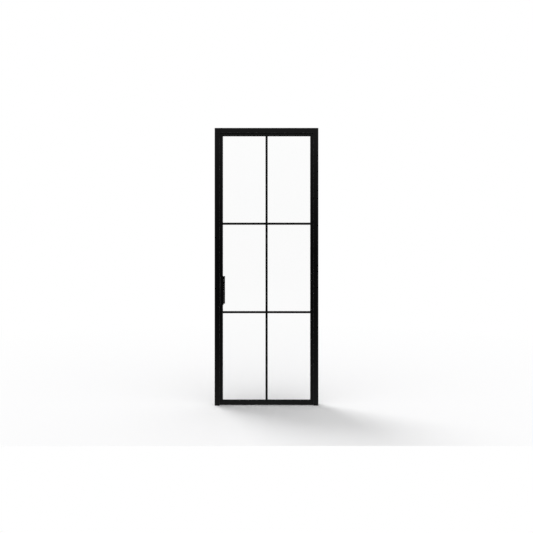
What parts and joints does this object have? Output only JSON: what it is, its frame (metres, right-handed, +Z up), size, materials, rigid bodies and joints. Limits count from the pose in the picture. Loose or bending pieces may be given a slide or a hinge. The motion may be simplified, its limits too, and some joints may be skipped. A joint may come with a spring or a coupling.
{
  "type": "steel glazed interior door",
  "caption": "Slim black steel interior door in its frame, with clear panes in two columns, angle grips on both sides and a leaf that swings on weld-on barrel hinges.",
  "frame": {"origin": "on the wall face of the hinge post, at floor level, half-way through the frame's depth", "axes": "+X out of the hinge post's wall face, +Y towards the side the leaf swings to, +Z up"},
  "size_m": [0.88, 0.145, 2.355],
  "materials": {
    "black_powder_coat": "satin",
    "clear_glass": "gloss",
    "seal_rubber": "matt",
    "bare_steel": "brushed",
    "washer_brass": "satin"
  },
  "bodies": {
    "frame": {"latch_post": "black_powder_coat", "latch_cover_strip": "black_powder_coat", "hinge_post": "black_powder_coat", "hinge_cover_strip": "black_powder_coat", "head": "black_powder_coat", "head_cover_strip": "black_powder_coat", "latch_seal": "seal_rubber", "hinge_seal": "seal_rubber", "head_seal": "seal_rubber", "strike_plate": "bare_steel", "lower_hinge_post_half": "black_powder_coat", "middle_hinge_post_half": "black_powder_coat", "upper_hinge_post_half": "black_powder_coat", "hinge_washers": "washer_brass"},
    "leaf": {"latch_stile": "black_powder_coat", "hinge_stile": "black_powder_coat", "top_rail": "black_powder_coat", "bottom_rail": "black_powder_coat", "latch_face_strip": "black_powder_coat", "hinge_face_strip": "black_powder_coat", "top_face_strip": "black_powder_coat", "bottom_face_strip": "black_powder_coat", "vertical_bar": "black_powder_coat", "lower_left_bar": "black_powder_coat", "lower_right_bar": "black_powder_coat", "upper_left_bar": "black_powder_coat", "upper_right_bar": "black_powder_coat", "bottom_left_pane": "clear_glass", "bottom_right_pane": "clear_glass", "middle_left_pane": "clear_glass", "middle_right_pane": "clear_glass", "top_left_pane": "clear_glass", "top_right_pane": "clear_glass", "bottom_left_beads": "black_powder_coat", "bottom_right_beads": "black_powder_coat", "middle_left_beads": "black_powder_coat", "middle_right_beads": "black_powder_coat", "top_left_beads": "black_powder_coat", "top_right_beads": "black_powder_coat", "front_grip": "black_powder_coat", "back_grip": "black_powder_coat", "ball_catch": "bare_steel", "lower_hinge_leaf_half": "black_powder_coat", "middle_hinge_leaf_half": "black_powder_coat", "upper_hinge_leaf_half": "black_powder_coat"}
  },
  "joints": [
    {"name": "leaf_swing", "type": "hinge", "parent": "frame", "child": "leaf", "pos_m": [-0.0225, 0.0435, 1.1675], "axis": [0, 0, -1], "range_deg": [0, 110]}
  ]
}
